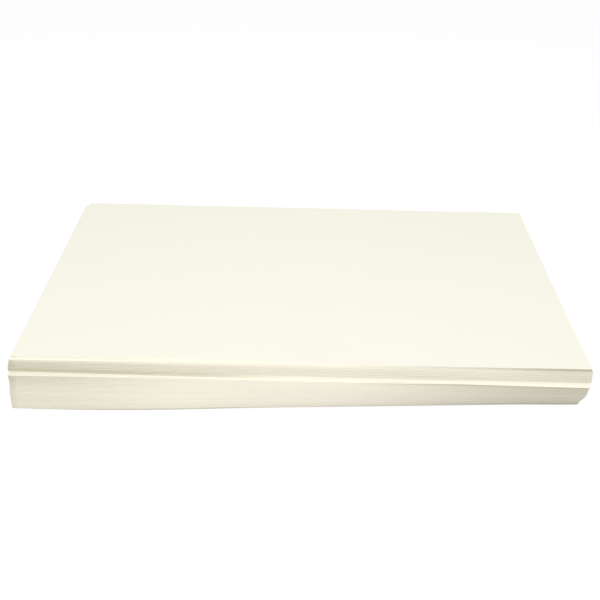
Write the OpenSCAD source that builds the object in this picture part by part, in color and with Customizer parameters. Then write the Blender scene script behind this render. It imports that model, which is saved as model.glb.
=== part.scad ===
// A pack of loose filter paper sheets, lying flat and a little out of square.
// X runs along the long edge, the front edge faces -Y, and Z is up from the surface it lies on.
// The origin is at the middle of the whole pack's footprint, on that surface.
// Each block of sheets drifts from one place to another: a place is the shift of a sheet's middle from
// the top sheet's middle, and the turn about it, positive to the left seen from above.

/* [Sheet] */
// Long edge of a sheet
sheet_w = 648; // [300:1:900]
// Short edge of a sheet
sheet_d = 419; // [200:1:700]
// Thickness of a sheet
sheet_t = 0.53; // [0.3:0.01:1.5]
// Air that the crepe keeps open between two sheets
air_gap = 0.08; // [0.05:0.01:0.25]
// How far a sheet lies out of line with the drift of its block
sheet_play = 0.2; // [0:0.1:2]

/* [Top sheets] */
// Number of sheets that lie loose on top
top_count = 3; // [1:1:9]

/* [Upper block] */
// Number of sheets in the upper block
upper_count = 17; // [2:1:30]
// Sideways shift of the block's uppermost sheet
upper_head_x = -3.4; // [-20:0.1:20]
// Shift of the block's uppermost sheet to the back
upper_head_y = -1.3; // [-20:0.1:20]
// Turn of the block's uppermost sheet
upper_head_turn = 0.55; // [-4:0.05:4]
// Sideways shift of the block's lowest sheet
upper_foot_x = -2.0; // [-20:0.1:20]
// Shift of the block's lowest sheet to the back
upper_foot_y = -4.9; // [-20:0.1:20]
// Turn of the block's lowest sheet
upper_foot_turn = 0.05; // [-4:0.05:4]

/* [Slipped sheets] */
// Number of sheets that have slipped out under the upper block
slipped_count = 9; // [1:1:15]
// Sideways shift of the lowest slipped sheet
slipped_foot_x = -1.8; // [-20:0.1:20]
// Shift of the lowest slipped sheet to the back
slipped_foot_y = -6.9; // [-20:0.1:20]
// Turn of the lowest slipped sheet
slipped_foot_turn = -0.6; // [-4:0.05:4]
// How late the slip sets in, where 1 is an even slip from the first sheet to the last
slipped_lag = 2; // [1:0.1:3]

/* [Lower block] */
// Number of sheets in the lower block
lower_count = 71; // [2:1:150]
// Sideways shift of the block's uppermost sheet
lower_head_x = -3.5; // [-20:0.1:20]
// Shift of the block's uppermost sheet to the back
lower_head_y = -10.0; // [-20:0.1:20]
// Turn of the block's uppermost sheet
lower_head_turn = 0.45; // [-4:0.05:4]
// Sideways shift of the block's lowest sheet
lower_foot_x = -14.0; // [-30:0.1:30]
// Shift of the block's lowest sheet to the back
lower_foot_y = -0.5; // [-20:0.1:20]
// Turn of the block's lowest sheet
lower_foot_turn = 3.5; // [-6:0.05:6]
// How late the block's drift sets in, where 1 is an even drift from head to foot
lower_lag = 1.7; // [1:0.1:3]

/* [Hidden] */
paper = [0.98, 0.965, 0.88];
pitch = sheet_t + air_gap;

// Sheets are counted from 0 at the top of the pack.
upper_start = top_count;
slipped_start = upper_start + upper_count;
lower_start = slipped_start + slipped_count;
sheet_count = lower_start + lower_count;

// Places are [sideways shift, shift to the back, turn].
top_place = [0, 0, 0];
upper_head = [upper_head_x, upper_head_y, upper_head_turn];
upper_foot = [upper_foot_x, upper_foot_y, upper_foot_turn];
slipped_foot = [slipped_foot_x, slipped_foot_y, slipped_foot_turn];
lower_head = [lower_head_x, lower_head_y, lower_head_turn];
lower_foot = [lower_foot_x, lower_foot_y, lower_foot_turn];

// Two steady turns from sheet to sheet, so that no two neighbours are out of line alike.
play_step_x = 137.5;
play_step_y = 222.5;

function drift(head, foot, share) = head + (foot - head) * share;

function drifted_place(n) =
    n < upper_start ? top_place
    : n < slipped_start ? drift(upper_head, upper_foot, (n - upper_start) / (upper_count - 1))
    : n < lower_start
        ? drift(upper_foot, slipped_foot, pow((n - slipped_start + 1) / slipped_count, slipped_lag))
    : drift(lower_head, lower_foot, pow((n - lower_start) / (lower_count - 1), lower_lag));

function play(n) = sheet_play * [sin(n * play_step_x), sin(n * play_step_y), 0];

function place(n) = drifted_place(n) + play(n);

function level(n) = (sheet_count - 1 - n) * pitch;

function turned(point, turn) = [
    point.x * cos(turn) - point.y * sin(turn),
    point.x * sin(turn) + point.y * cos(turn)
];

function sheet_corners(n) = [
    for (side_x = [-1, 1], side_y = [-1, 1])
        [place(n).x, place(n).y] + turned([side_x * sheet_w, side_y * sheet_d] / 2, place(n).z)
];

all_corners = [for (n = [0 : sheet_count - 1]) each sheet_corners(n)];
corner_xs = [for (corner = all_corners) corner.x];
corner_ys = [for (corner = all_corners) corner.y];
footprint_middle = [min(corner_xs) + max(corner_xs), min(corner_ys) + max(corner_ys)] / 2;

function top_name(i) = str("top_sheet_", i);
function upper_name(i) = str("upper_sheet_", i < 10 ? "0" : "", i);
function slipped_name(i) = str("slipped_sheet_", i);

module sheet(n) {
    translate([place(n).x - footprint_middle.x, place(n).y - footprint_middle.y, level(n)])
        rotate([0, 0, place(n).z])
            linear_extrude(height = sheet_t)
                square([sheet_w, sheet_d], center = true);
}

module top_sheet(i) {
    color(paper) sheet(i - 1);
}

module upper_sheet(i) {
    color(paper) sheet(upper_start + i - 1);
}

module slipped_sheet(i) {
    color(paper) sheet(slipped_start + i - 1);
}

// The lower block's sheets are loose too: they share one node as separate solids, each an air gap apart.
module lower_sheets() {
    color(paper)
        for (n = [lower_start : sheet_count - 1])
            sheet(n);
}

for (i = [1 : top_count]) top_sheet(i);
for (i = [1 : upper_count]) upper_sheet(i);
for (i = [1 : slipped_count]) slipped_sheet(i);
lower_sheets();
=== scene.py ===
"""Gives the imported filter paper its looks: waved, creped sheets, a white stage, soft light and a camera."""

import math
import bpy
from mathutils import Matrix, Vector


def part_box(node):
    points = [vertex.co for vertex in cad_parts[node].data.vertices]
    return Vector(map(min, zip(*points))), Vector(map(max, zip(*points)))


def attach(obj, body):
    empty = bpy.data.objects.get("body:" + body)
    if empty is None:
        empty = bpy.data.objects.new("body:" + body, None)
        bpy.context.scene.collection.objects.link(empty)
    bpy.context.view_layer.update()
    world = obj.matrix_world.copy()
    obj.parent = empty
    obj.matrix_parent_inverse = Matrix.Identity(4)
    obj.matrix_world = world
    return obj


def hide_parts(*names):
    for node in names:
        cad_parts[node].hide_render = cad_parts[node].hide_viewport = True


bl_info = {
    "name": "Pack of oil filter paper",
    "version": (1, 0, 0),
    "blender": (4, 5, 0),
    "location": "3D View > Sidebar > Filter paper",
    "description": "Lays the sheets of a loose pack of creped filter paper on a plain stage",
    "category": "Object",
}

import bmesh
import bpy
from bpy.props import FloatProperty, FloatVectorProperty, PointerProperty
from mathutils import Matrix, Vector, noise

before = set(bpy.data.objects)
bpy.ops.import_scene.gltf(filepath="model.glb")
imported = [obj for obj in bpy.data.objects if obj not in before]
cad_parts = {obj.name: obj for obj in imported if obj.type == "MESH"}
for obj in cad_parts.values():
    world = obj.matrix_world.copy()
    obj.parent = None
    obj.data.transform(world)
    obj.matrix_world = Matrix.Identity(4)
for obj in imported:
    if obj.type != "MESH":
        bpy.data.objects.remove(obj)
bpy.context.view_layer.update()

# Brightness of the unshaded floor, a little past white
FLOOR_WHITE = 1.04
BODY = "root"

# Places in the frame that the waves, the light and the camera are set from.
TOP_LOW, TOP_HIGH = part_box("top_sheet_1")
MIDDLE = Vector(((TOP_LOW.x + TOP_HIGH.x) / 2, (TOP_LOW.y + TOP_HIGH.y) / 2, 0))
PACK_TOP = TOP_HIGH.z
LOWER_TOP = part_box("lower_sheets")[1].z
UPPER_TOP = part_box("upper_sheet_01")[1].z
SLIPPED_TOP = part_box("slipped_sheet_1")[1].z
HALF_LONG = (TOP_HIGH.x - TOP_LOW.x) / 2
HALF_SHORT = (TOP_HIGH.y - TOP_LOW.y) / 2
PITCH = TOP_HIGH.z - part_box("top_sheet_2")[1].z


class SheetShape(bpy.types.PropertyGroup):
    """Sizes of the waves, edges and corners of the sheets."""

    top_cell: FloatProperty(
        name="Top cell",
        description="Length of a mesh cell on the loose top sheets",
        default=0.008,
        unit="LENGTH",
    )
    long_cell: FloatProperty(
        name="Long cell",
        description="Length of a mesh cell along the long edge of the other sheets",
        default=0.018,
        unit="LENGTH",
    )
    short_cell: FloatProperty(
        name="Short cell",
        description="Length of a mesh cell along the short edge of the other sheets",
        default=0.030,
        unit="LENGTH",
    )
    sheet_wander: FloatProperty(
        name="Sheet wander",
        description="How far one sheet's edge strays from a straight line",
        default=0.00006,
        unit="LENGTH",
    )
    group_wander: FloatProperty(
        name="Group wander",
        description="How far the edges of a few neighbouring sheets stray together",
        default=0.0003,
        unit="LENGTH",
    )
    edge_burr: FloatProperty(
        name="Edge burr",
        description="How far a cut edge of the pressed lower sheets stands up from each of its faces",
        default=0.00003,
        unit="LENGTH",
    )
    end_spread: FloatProperty(
        name="End spread",
        description="How far the first loose sheet under the top sheets stands out at its right end",
        default=0.003,
        unit="LENGTH",
    )
    left_bulge: FloatProperty(
        name="Left bulge",
        description="How far the lower block bulges out at its left end",
        default=0.001,
        unit="LENGTH",
    )
    foot_draw: FloatProperty(
        name="Foot draw",
        description="How far the lower block is drawn in at its right end",
        default=0.0021,
        unit="LENGTH",
    )
    foot_bulge: FloatProperty(
        name="Foot bulge",
        description="How far the lowest sheet's front edge bulges out at the left and at the right end",
        default=0.0015,
        unit="LENGTH",
    )
    front_dip: FloatProperty(
        name="Front dip",
        description="Depth of the slow dip in the front edge, right of the middle",
        default=0.001,
        unit="LENGTH",
    )
    buckle: FloatProperty(
        name="Buckle",
        description="Height of the slow waves of the uppermost sheet",
        default=0.0004,
        unit="LENGTH",
    )
    shoulder: FloatProperty(
        name="Shoulder",
        description="How far the uppermost sheet is pushed back along the worn stretch of the front edge",
        default=0.0022,
        unit="LENGTH",
    )
    shoulder_depth: FloatProperty(
        name="Shoulder depth",
        description="How far down the worn stretch of the front edge reaches",
        default=0.0055,
        unit="LENGTH",
    )
    corner_lift: FloatProperty(
        name="Corner lift",
        description="Lift of the lowest sheet's front left corner off the surface",
        default=0.0043,
        unit="LENGTH",
    )
    corner_curl: FloatProperty(
        name="Corner curl",
        description="Lift of the top sheets' front right corner off the upper block",
        default=0.0011,
        unit="LENGTH",
    )


class PaperFinish(bpy.types.PropertyGroup):
    """Colours and texture of the paper, and the colour of the painted shade on the cut edges."""

    face_colour: FloatVectorProperty(
        name="Face colour",
        description="Colour of the broad faces of a sheet",
        default=(0.955, 0.945, 0.835),
        subtype="COLOR",
        size=3,
        min=0,
        max=1,
    )
    cloud_colour: FloatVectorProperty(
        name="Cloud colour",
        description="Colour of the faces where the fibres lie thicker",
        default=(0.94, 0.925, 0.80),
        subtype="COLOR",
        size=3,
        min=0,
        max=1,
    )
    edge_colour: FloatVectorProperty(
        name="Edge colour",
        description="Colour of the cut edges",
        default=(0.98, 0.935, 0.81),
        subtype="COLOR",
        size=3,
        min=0,
        max=1,
    )
    # The colour of the painted shade on the cut edges, and of their darker streaks
    edge_shade: FloatVectorProperty(
        name="Edge shade",
        description="Colour of the darker streaks in the cut edges",
        default=(0.56, 0.52, 0.41),
        subtype="COLOR",
        size=3,
        min=0,
        max=1,
    )
    cloud_width: FloatProperty(
        name="Cloud width",
        description="Width of the faint clouds in the colour of the faces",
        default=0.035,
        unit="LENGTH",
    )
    crepe_width: FloatProperty(
        name="Crepe width",
        description="Distance from one crepe ridge to the next",
        default=0.0016,
        unit="LENGTH",
    )
    crepe_height: FloatProperty(
        name="Crepe height",
        description="Height of a crepe ridge",
        default=0.00010,
        unit="LENGTH",
    )
    fibre_width: FloatProperty(
        name="Fibre width",
        description="Width of the fibre clumps in the surface",
        default=0.0006,
        unit="LENGTH",
    )


class StageSetting(bpy.types.PropertyGroup):
    """Sizes and strengths of the floor, the light and the camera."""

    floor_size: FloatProperty(
        name="Floor size",
        description="Length and width of the floor",
        default=9.0,
        unit="LENGTH",
    )
    sky_strength: FloatProperty(
        name="Sky strength",
        description="Brightness of the plain sky that lights the paper",
        default=0.45,
    )
    over_power: FloatProperty(
        name="Overhead power",
        description="Power of the soft lamp above the pack",
        default=6.2,
        unit="POWER",
    )
    over_place: FloatVectorProperty(
        name="Overhead place",
        description="Place of the soft lamp above the pack, from the middle of the uppermost sheet",
        default=(0, 0.1, 1.58),
        subtype="TRANSLATION",
        size=3,
    )
    over_size: FloatProperty(
        name="Overhead size",
        description="Length and width of the soft lamp above the pack",
        default=1.2,
        unit="LENGTH",
    )
    front_power: FloatProperty(
        name="Front power",
        description="Power of the soft lamp in front of the pack",
        default=100.0,
        unit="POWER",
    )
    front_place: FloatVectorProperty(
        name="Front place",
        description="Place of the soft lamp in front of the pack, from the middle of the uppermost sheet",
        default=(0, -3.3, 2.4),
        subtype="TRANSLATION",
        size=3,
    )
    front_size: FloatProperty(
        name="Front size",
        description="Length and width of the soft lamp in front of the pack",
        default=2.0,
        unit="LENGTH",
    )
    floor_bounce: FloatProperty(
        name="Floor bounce",
        description="Share of the light that the floor throws back at the paper",
        default=0.4,
        subtype="FACTOR",
    )
    floor_shade: FloatProperty(
        name="Floor shade",
        description="How dark a full shadow shows on the white floor",
        default=0.15,
        subtype="FACTOR",
    )
    focal_length: FloatProperty(
        name="Focal length",
        description="Focal length of the camera on a 36 mm sensor",
        default=54.6,
        unit="CAMERA",
    )
    camera_place: FloatVectorProperty(
        name="Camera place",
        description="Place of the camera from the point of the floor under the top sheet's middle",
        default=(-0.0014, -1.0528, 0.6293),
        subtype="TRANSLATION",
        size=3,
    )
    camera_yaw: FloatProperty(
        name="Camera yaw",
        description="Turn of the camera to the right",
        default=math.radians(-0.128),
        subtype="ANGLE",
    )
    camera_tip: FloatProperty(
        name="Camera tip",
        description="Angle by which the camera looks down",
        default=math.radians(30.012),
        subtype="ANGLE",
    )
    camera_roll: FloatProperty(
        name="Camera roll",
        description="Turn of the camera about its own axis, to the left",
        default=math.radians(1.293),
        subtype="ANGLE",
    )


class Wire:
    """An output of a shader node that takes part in arithmetic: each operation adds its Math node."""

    def __init__(self, tree, output):
        self.tree = tree
        self.output = output

    def node(self, kind, settings=None, inputs=None, output=0):
        """Adds any node, with its settings first and then the values or links of its sockets."""
        made = self.tree.nodes.new(kind)
        for name, value in (settings or {}).items():
            setattr(made, name, value)
        for name, value in (inputs or {}).items():
            if isinstance(value, Wire):
                self.tree.links.new(value.output, made.inputs[name])
            else:
                made.inputs[name].default_value = value
        return Wire(self.tree, made.outputs[output])

    def maths(self, operation, first, second):
        return self.node("ShaderNodeMath", {"operation": operation}, {0: first, 1: second})

    def __add__(self, other):
        return self.maths("ADD", self, other)

    __radd__ = __add__

    def __sub__(self, other):
        return self.maths("SUBTRACT", self, other)

    def __rsub__(self, other):
        return self.maths("SUBTRACT", other, self)

    def __mul__(self, other):
        return self.maths("MULTIPLY", self, other)

    __rmul__ = __mul__

    def larger(self, other):
        return self.maths("MAXIMUM", self, other)

    def rise(self, start, end):
        """0 at the start, 1 at the end, which may be the lower of the two, and a smooth rise between."""
        settings = {"interpolation_type": "SMOOTHSTEP"}
        return self.node("ShaderNodeMapRange", settings, {"Value": self, "From Min": start, "From Max": end})

    def mixed(self, first, second):
        """A colour that goes from the first to the second as this value goes from 0 to 1."""
        settings = {"data_type": "RGBA"}
        inputs = {"Factor": self, 6: first, 7: second}
        return self.node("ShaderNodeMix", settings, inputs, output=2)


def new_material(name):
    """A material with an empty tree, and a wire that starts from its object coordinates."""
    material = bpy.data.materials.new(name)
    material.use_nodes = True
    tree = material.node_tree
    tree.nodes.clear()
    coordinates = tree.nodes.new("ShaderNodeTexCoord")
    return material, Wire(tree, coordinates.outputs["Object"])


def finish_tree(surface, kind="ShaderNodeOutputMaterial"):
    """Ends a tree with its output node."""
    end = surface.tree.nodes.new(kind)
    surface.tree.links.new(surface.output, end.inputs["Surface"])


def opaque(colour):
    return (*colour, 1.0)


def stretched_noise(place, width, detail=2.0, roughness=0.5):
    """Noise whose blots are as long along X, Y and Z as the three widths say."""
    scale = tuple(1 / w for w in width)
    squeezed = place.node("ShaderNodeMapping", None, {"Vector": place, "Scale": scale})
    inputs = {"Vector": squeezed, "Scale": 1.0, "Detail": detail, "Roughness": roughness}
    return place.node("ShaderNodeTexNoise", None, inputs)


def face_material(finish):
    """Creped, felted paper: faint clouds in the colour, fine ridges and fibre clumps in the relief."""
    material, place = new_material("filter_paper_face")
    clouds = stretched_noise(place, (finish.cloud_width,) * 3, detail=4.0)
    clumps = stretched_noise(place, (finish.fibre_width,) * 3, detail=3.0, roughness=0.6)
    ridge_length = finish.crepe_width * 9
    ridges = stretched_noise(place, (finish.crepe_width, ridge_length, 0.02), detail=2.0)
    shade = clouds * 0.7 + clumps * 0.3
    colour = shade.mixed(opaque(finish.face_colour), opaque(finish.cloud_colour))
    relief = ridges * 0.75 + clumps * 0.25
    inputs = {"Strength": 0.6, "Distance": finish.crepe_height, "Height": relief}
    bump = place.node("ShaderNodeBump", None, inputs)
    inputs = {
        "Base Color": colour,
        "Roughness": 0.78 + clumps * 0.2,
        "Specular IOR Level": 0.25,
        "Normal": bump,
    }
    finish_tree(place.node("ShaderNodeBsdfPrincipled", None, inputs))
    return material


def painted_loose_shade(along, height):
    """Painted light and shade on the edges of the loose sheets: painted light in the middle and where they
    fan out, painted shade in the gap at the left, under the top sheets and towards the right end.
    """
    left_half = along.rise(0.02, -0.12)
    # right_end: painted shade towards the right end
    right_end = along.rise(0.2, HALF_LONG)
    # middle: painted light in the middle
    middle = along.rise(-0.15, 0) * along.rise(0.15, 0.03)
    # head and foot: painted shade under the top sheets and down through the open gaps
    head = height.rise(PACK_TOP - 0.001, PACK_TOP - 0.006)
    foot = height.rise(PACK_TOP - 0.0055, SLIPPED_TOP)
    # unfanned is 0 on the fanned sheets at the right, which take no painted shade and show as painted light
    unfanned = height.rise(LOWER_TOP + 0.001, LOWER_TOP + 0.006).larger(left_half)
    # gap: painted shade in the recess at the left, under the upper block
    gap = height.rise(SLIPPED_TOP + PITCH, SLIPPED_TOP - 2 * PITCH) * along.rise(0.02, -0.24)
    return (head * 0.48 + foot * 0.13 + right_end * 0.25) * (1 - middle * 0.25) * unfanned + gap * 0.25


def painted_lower_shade(along, height):
    """Painted shade on the lower block: where it is undercut at the right, a painted shadow just under the
    loose sheets, and painted shade at the left end and along the foot.
    """
    right_half = along.rise(0, HALF_LONG)
    left_end = along.rise(-0.1, -HALF_LONG)
    # undercut: painted shade where the right half is undercut
    undercut = right_half * (height.rise(LOWER_TOP - 0.02, LOWER_TOP) * 0.22 + 0.6)
    # covered: a painted shadow just under the loose sheets
    covered = along.rise(0.05, 0.1) * height.rise(LOWER_TOP - 0.003, LOWER_TOP - 0.001)
    covered = covered * (along.rise(0.27, 0.15) * 0.25 + 0.17)
    # corner: painted shade at the left end
    corner = left_end * (height.rise(LOWER_TOP - 0.016, LOWER_TOP - 0.004) * 0.2 + 0.17)
    # foot_line and foot: painted contact shade along the foot, darker towards the bottom
    foot_line = along.rise(-0.27, -0.18) * along.rise(-0.02, -0.1)
    foot = height.rise(0.0025, 0.0005) * (foot_line * 0.4 + 0.25) + height.rise(0.012, 0) * 0.17
    return undercut + covered + corner + foot


def painted_end_shade(along, height):
    """Painted shade that all the blocks share: the painted shadow line under the curled top sheets, and
    painted shade at the left end.
    """
    # curled: a painted shadow line under the curled top sheets; left_end: painted shade over the left end
    curled = along.rise(0.06, 0.36) * height.rise(PACK_TOP - 0.0045, PACK_TOP - 0.002)
    left_end = along.rise(-0.1, -HALF_LONG)
    # worn: painted shade at the left corner, over the last 7 mm of the edges
    worn = along.rise(-HALF_LONG + 0.007, -HALF_LONG)
    return curled * 0.85 + left_end * 0.23 + worn * 0.25


def painted_edge_shade(place):
    """How dark the painted shade on the cut edges is, from 0 to 1: most where the sheets lie loose and shade
    falls into their open gaps.

    The tones start and end at distances to the right of the pack's middle, and at heights, in metres.
    """
    along = place.node("ShaderNodeSeparateXYZ", None, {"Vector": place}, output="X") - MIDDLE.x
    height = place.node("ShaderNodeSeparateXYZ", None, {"Vector": place}, output="Z")
    above = height.rise(LOWER_TOP, LOWER_TOP + PITCH / 8)
    blocks = painted_loose_shade(along, height) * above + painted_lower_shade(along, height) * (1 - above)
    return blocks + painted_end_shade(along, height)


def edge_material(finish):
    """Cut edges, with painted light and shade, long streaks from sheet to sheet and short frayed fibres."""
    material, place = new_material("filter_paper_edge")
    streaks = stretched_noise(place, (0.08, 0.08, 0.0025), detail=3.0)
    bands = stretched_noise(place, (0.25, 0.25, 0.006), detail=1.0)
    fray = stretched_noise(place, (finish.fibre_width, finish.fibre_width, 0.00025), detail=2.0)
    # Painted light and shade along the edges, plus random streaks, bands and frayed fibres
    shade = painted_edge_shade(place) + (streaks * 0.07 + bands * 0.05 + fray * 0.03 - 0.05)
    colour = shade.mixed(opaque(finish.edge_colour), opaque(finish.edge_shade))
    inputs = {"Strength": 0.5, "Distance": 0.0001, "Height": fray}
    bump = place.node("ShaderNodeBump", None, inputs)
    inputs = {
        "Base Color": colour,
        "Roughness": 0.82 + fray * 0.15,
        "Specular IOR Level": 0.2,
        "Normal": bump,
    }
    finish_tree(place.node("ShaderNodeBsdfPrincipled", None, inputs))
    return material


def paper_materials(finish):
    """The materials of the faces and the edges, made once."""
    kept = bpy.data.materials
    if "filter_paper_face" in kept:
        return kept["filter_paper_face"], kept["filter_paper_edge"]
    return face_material(finish), edge_material(finish)


def ease(value, start, end):
    """0 up to start, 1 from end on, and a smooth rise between them."""
    share = min(max((value - start) / (end - start), 0.0), 1.0)
    return share * share * (3 - 2 * share)


def hump(value, middle, width):
    """A smooth hump of height 1."""
    return math.exp(-(((value - middle) / width) ** 2))


def number_at(height):
    """The number of the sheet at a height, counted from 1 at the bottom of the pack, safe from rounding."""
    rounding = 0.05
    return int(height / PITCH + rounding) + 1


# How far in from an edge its strays and shifts reach
EDGE_REACH = 0.03
# How much denser the rows of the mesh are near the edges, from 0 to 1
LONG_CROWDING = 0.3
SHORT_CROWDING = 0.8
LOWER_COUNT = number_at(LOWER_TOP)
UPPER_COUNT = number_at(UPPER_TOP)


class Sheet:
    """One sheet of a node: the middle of its upper face, its axes, its half sizes and its number."""

    def __init__(self, face):
        corners = [vertex.co.copy() for vertex in face.verts]
        self.middle = sum(corners, Vector()) / len(corners)
        longest = max(face.edges, key=lambda edge: edge.calc_length())
        ends = [vertex.co.copy() for vertex in longest.verts]
        left, right = sorted(ends, key=lambda point: point.x)
        self.along = (right - left).normalized()
        self.across = Vector((0, 0, 1)).cross(self.along)
        self.half_long = longest.calc_length() / 2
        self.half_short = min(edge.calc_length() for edge in face.edges) / 2
        self.top = self.middle.z
        self.number = number_at(self.top)
        self.is_pressed = self.number <= LOWER_COUNT
        self.is_on_top = self.number > UPPER_COUNT

    def read(self, point):
        """A point's place on the sheet, along its long edge and along its short edge."""
        way = point - self.middle
        return way.dot(self.along), way.dot(self.across)

    def point(self, u, v, z):
        flat = self.middle + self.along * u + self.across * v
        return Vector((flat.x, flat.y, z))


def cut_in_cells(bm, axis, cell):
    """Cuts all that runs along an axis into cells of about the given length, right across the faces."""
    edges = []
    for edge in bm.edges:
        way = edge.verts[1].co - edge.verts[0].co
        if abs(way[axis]) > 0.9 * way.length:
            edges.append(edge)
    longest = max(edge.calc_length() for edge in edges)
    bmesh.ops.subdivide_edges(bm, edges=edges, cuts=round(longest / cell) - 1, use_grid_fill=True)


def crowded(value, half, crowding):
    """Moves a row of the mesh towards the nearer edge, so that the rows are densest there."""
    turn = math.pi * (value / half + 1)
    return value - half * crowding * math.sin(turn) / math.pi


def end_shift(u, sheet, shape):
    """How far an end stands out along the sheet: loose sheets spread, lower ones bulge or draw in."""
    near_end = 1 - ease(sheet.half_long - abs(u), 0, EDGE_REACH)
    if sheet.is_on_top:
        return 0.0
    if sheet.is_pressed:
        if u < 0:
            belly = hump(sheet.top, 0.0175, 0.014)
            head = math.exp((sheet.top - LOWER_TOP) / 0.003)
            return -shape.left_bulge * (belly + 1.4 * head) * near_end
        waist = hump(sheet.top, 0.0135, 0.0085)
        return -shape.foot_draw * waist * near_end
    depth = (UPPER_TOP - sheet.top) / (UPPER_TOP - LOWER_TOP)
    if u < 0:
        share = 0.25 + 0.5 * ease(depth, 0, 0.6) - 0.3 * ease(depth, 0.7, 1)
        return -shape.end_spread * share * near_end
    return shape.end_spread * (1 - 0.7 * depth**2) * near_end


def foot_shift(u, v, sheet, shape):
    """How far the front edges of the lowest sheets bulge out."""
    if not sheet.is_pressed:
        return 0.0
    left_stretch = hump(u, -0.15, 0.06)
    right_stretch = ease(u, 0.25, 0.31)
    stretch = left_stretch + right_stretch
    near_front = 1 - ease(v + sheet.half_short, 0, 0.05)
    return -shape.foot_bulge * (1 - sheet.top / LOWER_TOP) ** 3 * stretch * near_front


def strayed(u, v, sheet, shape):
    """A sheet's edges are never straight: each strays by itself, and a few neighbours stray together."""
    short_wave = 0.08
    long_wave = 0.22
    own_level = sheet.number * 3.7
    shared_level = sheet.number * 0.13
    for_long = noise.noise(Vector((u / short_wave, own_level, 1.5))) * shape.sheet_wander
    for_long += noise.noise(Vector((u / long_wave, shared_level, 7.5))) * shape.group_wander
    for_short = noise.noise(Vector((v / short_wave, own_level, 4.5))) * shape.sheet_wander
    for_short += noise.noise(Vector((v / long_wave, shared_level, 9.5))) * shape.group_wander
    near_long = 1 - ease(sheet.half_short - abs(v), 0, EDGE_REACH)
    near_short = 1 - ease(sheet.half_long - abs(u), 0, EDGE_REACH)
    return u + for_short * near_short, v + for_long * near_long


def pushed_back(u, v, sheet, shape):
    """How far the worn stretch of the front edge is pushed back, most at the uppermost sheet."""
    depth = PACK_TOP - sheet.top
    if depth >= shape.shoulder_depth:
        return 0.0
    share = (1 - depth / shape.shoulder_depth) ** 2
    worn_start = ease(u, -0.22, -0.15)
    worn_end = ease(u, 0.02, 0.09)
    stretch = worn_start * (1 - worn_end)
    near_front = 1 - ease(v + sheet.half_short, 0, EDGE_REACH)
    return shape.shoulder * share * stretch * near_front


def left_corner(point):
    """1 at the front left corner, and a smooth fall to 0 away from it."""
    lifted_length = 0.095
    lifted_depth = 0.11
    from_left = point.x - MIDDLE.x + HALF_LONG
    from_front = point.y - MIDDLE.y + HALF_SHORT
    share = max(1 - max(from_left, 0) / lifted_length, 0)
    return share**1.5 * (1 - ease(from_front, -0.02, lifted_depth))


def lift(point, shape):
    """The height that the paper gains at a point: one smooth field, so that no sheet meets another."""
    wave_long, wave_short = 0.17, 0.13
    dip_middle, dip_width, dip_reach = 0.09, 0.055, 0.10
    curl_start, curl_reach = 0.18, 0.12
    x = point.x - MIDDLE.x
    y = point.y - MIDDLE.y
    from_front = y + HALF_SHORT
    share = point.z / PACK_TOP
    total = noise.noise(Vector((x / wave_long, y / wave_short, 2.5))) * shape.buckle * share**2
    dip = hump(x, dip_middle, dip_width) * (1 - ease(from_front, 0, dip_reach))
    total -= shape.front_dip * dip * share
    if point.z < LOWER_TOP:
        total += shape.corner_lift * left_corner(point) * (1 - point.z / LOWER_TOP)
    if point.z > UPPER_TOP:
        curl = ease(x, curl_start, HALF_LONG) * (1 - ease(from_front, 0, curl_reach))
        total += shape.corner_curl * curl
    return total


def shaped_mesh(node, cell_long, cell_short, shape):
    """A copy of a node's sheets, cut into cells, with strayed edges and the shared waves."""
    bm = bmesh.new()
    bm.from_mesh(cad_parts[node].data)
    bmesh.ops.remove_doubles(bm, verts=bm.verts, dist=PITCH / 100)
    bmesh.ops.dissolve_limit(bm, angle_limit=math.radians(1), verts=bm.verts, edges=bm.edges)
    bm.normal_update()
    sheets = {}
    for face in bm.faces:
        if face.normal.z > 0.9:
            sheet = Sheet(face)
            sheets[sheet.number] = sheet
    cut_in_cells(bm, 0, cell_long)
    cut_in_cells(bm, 1, cell_short)
    for vertex in bm.verts:
        sheet = sheets[number_at(vertex.co.z)]
        u, v = sheet.read(vertex.co)
        u = crowded(u, sheet.half_long, LONG_CROWDING)
        v = crowded(v, sheet.half_short, SHORT_CROWDING)
        side = 1 if vertex.co.z > sheet.top - PITCH / 2 else -1
        at_edge = max(abs(u) - sheet.half_long, abs(v) - sheet.half_short) > -PITCH / 10
        burr = 0.0
        if at_edge and sheet.is_pressed:
            burr = shape.edge_burr * side * (1 - left_corner(vertex.co))
        u, v = strayed(u, v, sheet, shape)
        u += end_shift(u, sheet, shape)
        v += pushed_back(u, v, sheet, shape) + foot_shift(u, v, sheet, shape)
        vertex.co = sheet.point(u, v, vertex.co.z + burr)
        vertex.co.z += lift(vertex.co, shape)
    for face in bm.faces:
        face.material_index = 0 if abs(face.normal.z) > 0.5 else 1
        face.smooth = False
    mesh = bpy.data.meshes.new("paper_" + node)
    bm.to_mesh(mesh)
    bm.free()
    return mesh


def lay_sheets(nodes, cell_long, cell_short):
    """Makes one piece of paper, or one group of sheets, for each of the nodes."""
    scene = bpy.context.scene
    shape = scene.filter_shape
    materials = paper_materials(scene.filter_finish)
    for node in nodes:
        piece = bpy.data.objects.new("paper_" + node, shaped_mesh(node, cell_long, cell_short, shape))
        scene.collection.objects.link(piece)
        for material in materials:
            piece.data.materials.append(material)
        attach(piece, BODY)
        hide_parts(node)


def nodes_named(start):
    found = sorted(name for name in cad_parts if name.startswith(start))
    if not found:
        raise RuntimeError("the frame has no node whose name starts with " + start)
    return found


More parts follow.
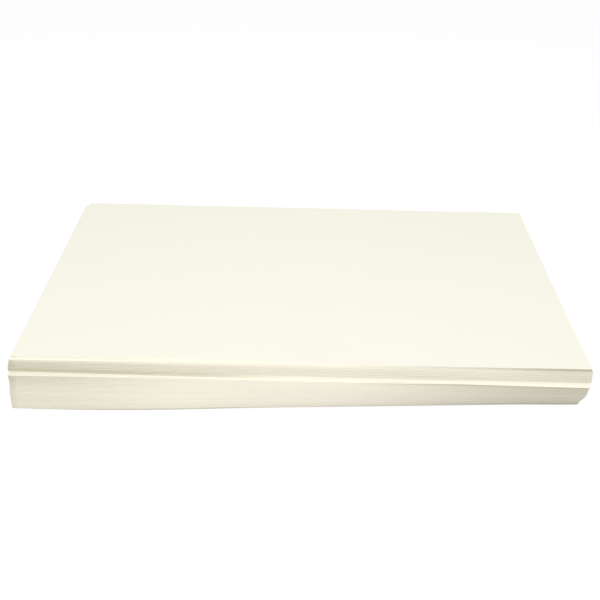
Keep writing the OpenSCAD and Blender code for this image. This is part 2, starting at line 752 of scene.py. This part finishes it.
class PAPER_OT_top_sheets(bpy.types.Operator):
    """Lays the loose sheets on top of the pack"""

    bl_idname = "paper.top_sheets"
    bl_label = "Top sheets"

    def execute(self, context):
        shape = context.scene.filter_shape
        lay_sheets(nodes_named("top_sheet"), shape.top_cell, shape.top_cell)
        return {"FINISHED"}


class PAPER_OT_upper_sheets(bpy.types.Operator):
    """Lays the sheets of the upper block"""

    bl_idname = "paper.upper_sheets"
    bl_label = "Upper block"

    def execute(self, context):
        shape = context.scene.filter_shape
        lay_sheets(nodes_named("upper_sheet"), shape.long_cell, shape.short_cell)
        return {"FINISHED"}


class PAPER_OT_slipped_sheets(bpy.types.Operator):
    """Lays the sheets that have slipped out under the upper block"""

    bl_idname = "paper.slipped_sheets"
    bl_label = "Slipped sheets"

    def execute(self, context):
        shape = context.scene.filter_shape
        lay_sheets(nodes_named("slipped_sheet"), shape.long_cell, shape.short_cell)
        return {"FINISHED"}


class PAPER_OT_lower_sheets(bpy.types.Operator):
    """Lays the sheets of the lower block"""

    bl_idname = "paper.lower_sheets"
    bl_label = "Lower block"

    def execute(self, context):
        shape = context.scene.filter_shape
        lay_sheets(["lower_sheets"], shape.long_cell, shape.short_cell)
        return {"FINISHED"}


def seen_by_camera(wire):
    """1 for rays from the camera and for rays that gloss or glass sends on, and 0 for light on the paper."""
    path = wire.tree.nodes.new("ShaderNodeLightPath")
    kinds = ("Is Camera Ray", "Is Glossy Ray", "Is Transmission Ray")
    rays = [Wire(wire.tree, path.outputs[kind]) for kind in kinds]
    return rays[0].larger(rays[1]).larger(rays[2])


def make_floor(stage):
    """A plain floor that shows white where nothing shades it."""
    bm = bmesh.new()
    bmesh.ops.create_grid(bm, x_segments=1, y_segments=1, size=stage.floor_size / 2)
    mesh = bpy.data.meshes.new("floor")
    bm.to_mesh(mesh)
    bm.free()
    floor = bpy.data.objects.new("floor", mesh)
    bpy.context.scene.collection.objects.link(floor)
    material, place = new_material("stage_white")
    bounce = place.node("ShaderNodeBsdfDiffuse", None, {"Color": opaque((stage.floor_bounce,) * 3)})
    shaded = place.node("ShaderNodeBsdfDiffuse", None, {"Color": opaque((stage.floor_shade,) * 3)})
    glow_strength = FLOOR_WHITE - stage.floor_shade
    glow = place.node("ShaderNodeEmission", None, {"Color": opaque((1.0,) * 3), "Strength": glow_strength})
    shown = place.node("ShaderNodeAddShader", None, {0: shaded, 1: glow})
    rays = seen_by_camera(place)
    finish_tree(place.node("ShaderNodeMixShader", None, {0: rays, 1: bounce, 2: shown}))
    floor.data.materials.append(material)


def make_sky(stage):
    """A sky that lights the paper plainly and shows white to the camera."""
    world = bpy.data.worlds.new("sky")
    world.use_nodes = True
    tree = world.node_tree
    tree.nodes.clear()
    light = tree.nodes.new("ShaderNodeBackground")
    light.inputs["Strength"].default_value = stage.sky_strength
    start = Wire(tree, light.outputs[0])
    white = start.node("ShaderNodeBackground", None, {"Color": opaque((1.0,) * 3), "Strength": 1.0})
    light.inputs["Color"].default_value = opaque((1.0,) * 3)
    rays = seen_by_camera(start)
    shown = start.node("ShaderNodeMixShader", None, {0: rays, 1: start, 2: white})
    finish_tree(shown, "ShaderNodeOutputWorld")
    bpy.context.scene.world = world


def make_lamp(name, way, size, power):
    """A square soft lamp at the end of a way from the middle of the uppermost sheet, turned back to it."""
    lamp = bpy.data.lights.new(name, "AREA")
    lamp.shape = "SQUARE"
    lamp.size = size
    lamp.energy = power
    holder = bpy.data.objects.new(name, lamp)
    holder.location = MIDDLE + Vector((0, 0, PACK_TOP)) + Vector(way)
    holder.rotation_euler = (-Vector(way)).to_track_quat("-Z", "Y").to_euler()
    bpy.context.scene.collection.objects.link(holder)


def make_camera(stage):
    """The camera of the photograph, from its place, its yaw, its tip and its roll."""
    camera = bpy.data.cameras.new("camera")
    camera.sensor_width = 36
    camera.lens = stage.focal_length
    holder = bpy.data.objects.new("camera", camera)
    look = Matrix.Rotation(-stage.camera_yaw, 4, "Z")
    look @= Matrix.Rotation(math.pi / 2 - stage.camera_tip, 4, "X")
    look @= Matrix.Rotation(stage.camera_roll, 4, "Z")
    holder.matrix_world = Matrix.Translation(MIDDLE + Vector(stage.camera_place)) @ look
    bpy.context.scene.collection.objects.link(holder)
    bpy.context.scene.camera = holder


class PAPER_OT_stage(bpy.types.Operator):
    """Makes the floor, the sky, the lamps and the camera"""

    bl_idname = "paper.stage"
    bl_label = "Stage"

    def execute(self, context):
        scene = context.scene
        stage = scene.filter_stage
        make_floor(stage)
        make_sky(stage)
        make_lamp("overhead", stage.over_place, stage.over_size, stage.over_power)
        make_lamp("front", stage.front_place, stage.front_size, stage.front_power)
        make_camera(stage)
        scene.view_settings.view_transform = "Standard"
        return {"FINISHED"}


class PAPER_PT_panel(bpy.types.Panel):
    """Lists the parts of the pack and the stage"""

    bl_idname = "PAPER_PT_panel"
    bl_label = "Filter paper"
    bl_space_type = "VIEW_3D"
    bl_region_type = "UI"
    bl_category = "Filter paper"

    def draw(self, context):
        for operator in OPERATORS:
            self.layout.operator(operator.bl_idname)
        for name in SETTINGS:
            group = getattr(context.scene, name)
            box = self.layout.box()
            for prop in group.__annotations__:
                box.prop(group, prop)


OPERATORS = (
    PAPER_OT_stage,
    PAPER_OT_lower_sheets,
    PAPER_OT_slipped_sheets,
    PAPER_OT_upper_sheets,
    PAPER_OT_top_sheets,
)
SETTINGS = {
    "filter_shape": SheetShape,
    "filter_finish": PaperFinish,
    "filter_stage": StageSetting,
}


def register():
    for group in SETTINGS.values():
        bpy.utils.register_class(group)
    for name, group in SETTINGS.items():
        setattr(bpy.types.Scene, name, PointerProperty(type=group))
    for operator in OPERATORS:
        bpy.utils.register_class(operator)
    bpy.utils.register_class(PAPER_PT_panel)


def unregister():
    bpy.utils.unregister_class(PAPER_PT_panel)
    for operator in reversed(OPERATORS):
        bpy.utils.unregister_class(operator)
    for name in SETTINGS:
        delattr(bpy.types.Scene, name)
    for group in reversed(SETTINGS.values()):
        bpy.utils.unregister_class(group)


def main():
    register()
    bpy.ops.paper.stage()
    bpy.ops.paper.lower_sheets()
    bpy.ops.paper.slipped_sheets()
    bpy.ops.paper.upper_sheets()
    bpy.ops.paper.top_sheets()


if __name__ == "__main__":
    main()
